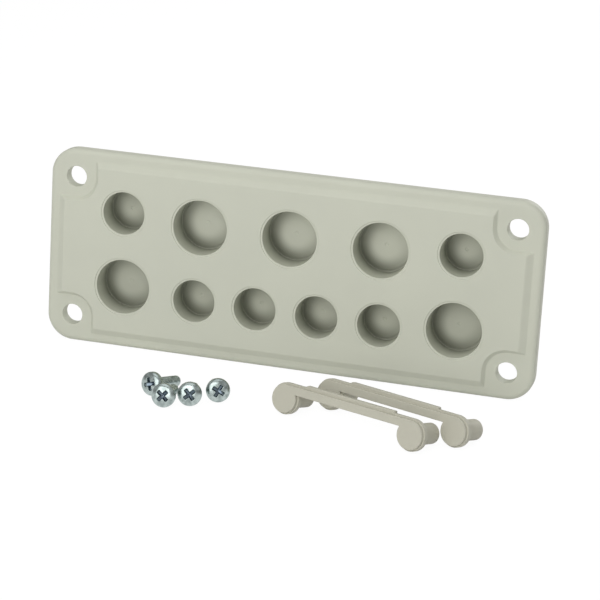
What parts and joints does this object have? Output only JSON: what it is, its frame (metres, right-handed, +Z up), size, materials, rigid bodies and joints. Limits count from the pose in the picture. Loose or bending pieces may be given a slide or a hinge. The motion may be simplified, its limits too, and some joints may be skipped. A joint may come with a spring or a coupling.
{
  "type": "cable entry plate",
  "caption": "Moulded cable entry plate with a raised field of round blind entries and corner fixing holes, with its pinned strips and screws lying in front.",
  "frame": {"origin": "centre of the four fixing holes on the seating face at the back of the flange", "axes": "+X along the plate's long side, +Z up, the front looks towards -Y"},
  "size_m": [0.24, 0.1058, 0.095],
  "materials": {
    "plate_plastic": "matt moulded light grey with a green cast",
    "strip_plastic": "matt moulded light grey, slightly warmer",
    "screw_zinc": "bright zinc plate, bluish"
  },
  "bodies": {
    "root": {"entry_plate": "plate_plastic", "mounting_strip_1": "strip_plastic", "mounting_strip_2": "strip_plastic", "fixing_screw_1": "screw_zinc", "fixing_screw_2": "screw_zinc", "fixing_screw_3": "screw_zinc", "fixing_screw_4": "screw_zinc"}
  },
  "joints": []
}
